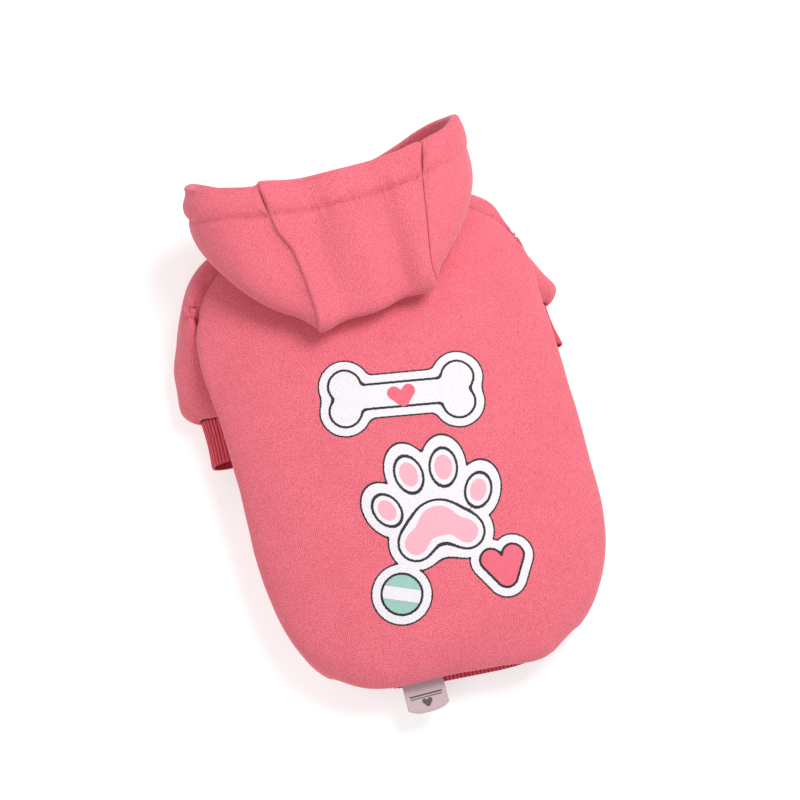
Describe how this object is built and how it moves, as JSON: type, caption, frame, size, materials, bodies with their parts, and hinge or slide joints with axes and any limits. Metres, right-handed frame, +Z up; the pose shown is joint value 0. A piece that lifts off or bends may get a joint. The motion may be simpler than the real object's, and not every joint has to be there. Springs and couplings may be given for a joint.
{
  "type": "hooded dog sweatshirt",
  "caption": "Hooded sweatshirt for a small dog, puffed up on its belly, with the hood folded down, ribbed cuffs and a ribbed hem band.",
  "frame": {"origin": "the middle of the garment's footprint, on the ground that its belly rests on", "axes": "+Y to the dog's head, +Z up from the belly to the back, +X to the dog's right"},
  "size_m": [0.2194, 0.3162, 0.0879],
  "materials": {
    "back_panel": "brushed pink fleece",
    "belly_panel": "brushed pink fleece",
    "left_sleeve": "brushed pink fleece",
    "right_sleeve": "brushed pink fleece",
    "left_cuff": "ribbed knit",
    "right_cuff": "ribbed knit",
    "hem_band": "ribbed knit",
    "hood_centre_panel": "brushed pink fleece",
    "hood_left_panel": "brushed pink fleece",
    "hood_right_panel": "brushed pink fleece",
    "side_label": "woven grey-pink ribbon"
  },
  "bodies": {
    "root": {"back_panel": "back_panel", "belly_panel": "belly_panel", "left_sleeve": "left_sleeve", "right_sleeve": "right_sleeve", "left_cuff": "left_cuff", "right_cuff": "right_cuff", "hem_band": "hem_band", "hood_centre_panel": "hood_centre_panel", "hood_left_panel": "hood_left_panel", "hood_right_panel": "hood_right_panel", "side_label": "side_label"}
  },
  "joints": []
}
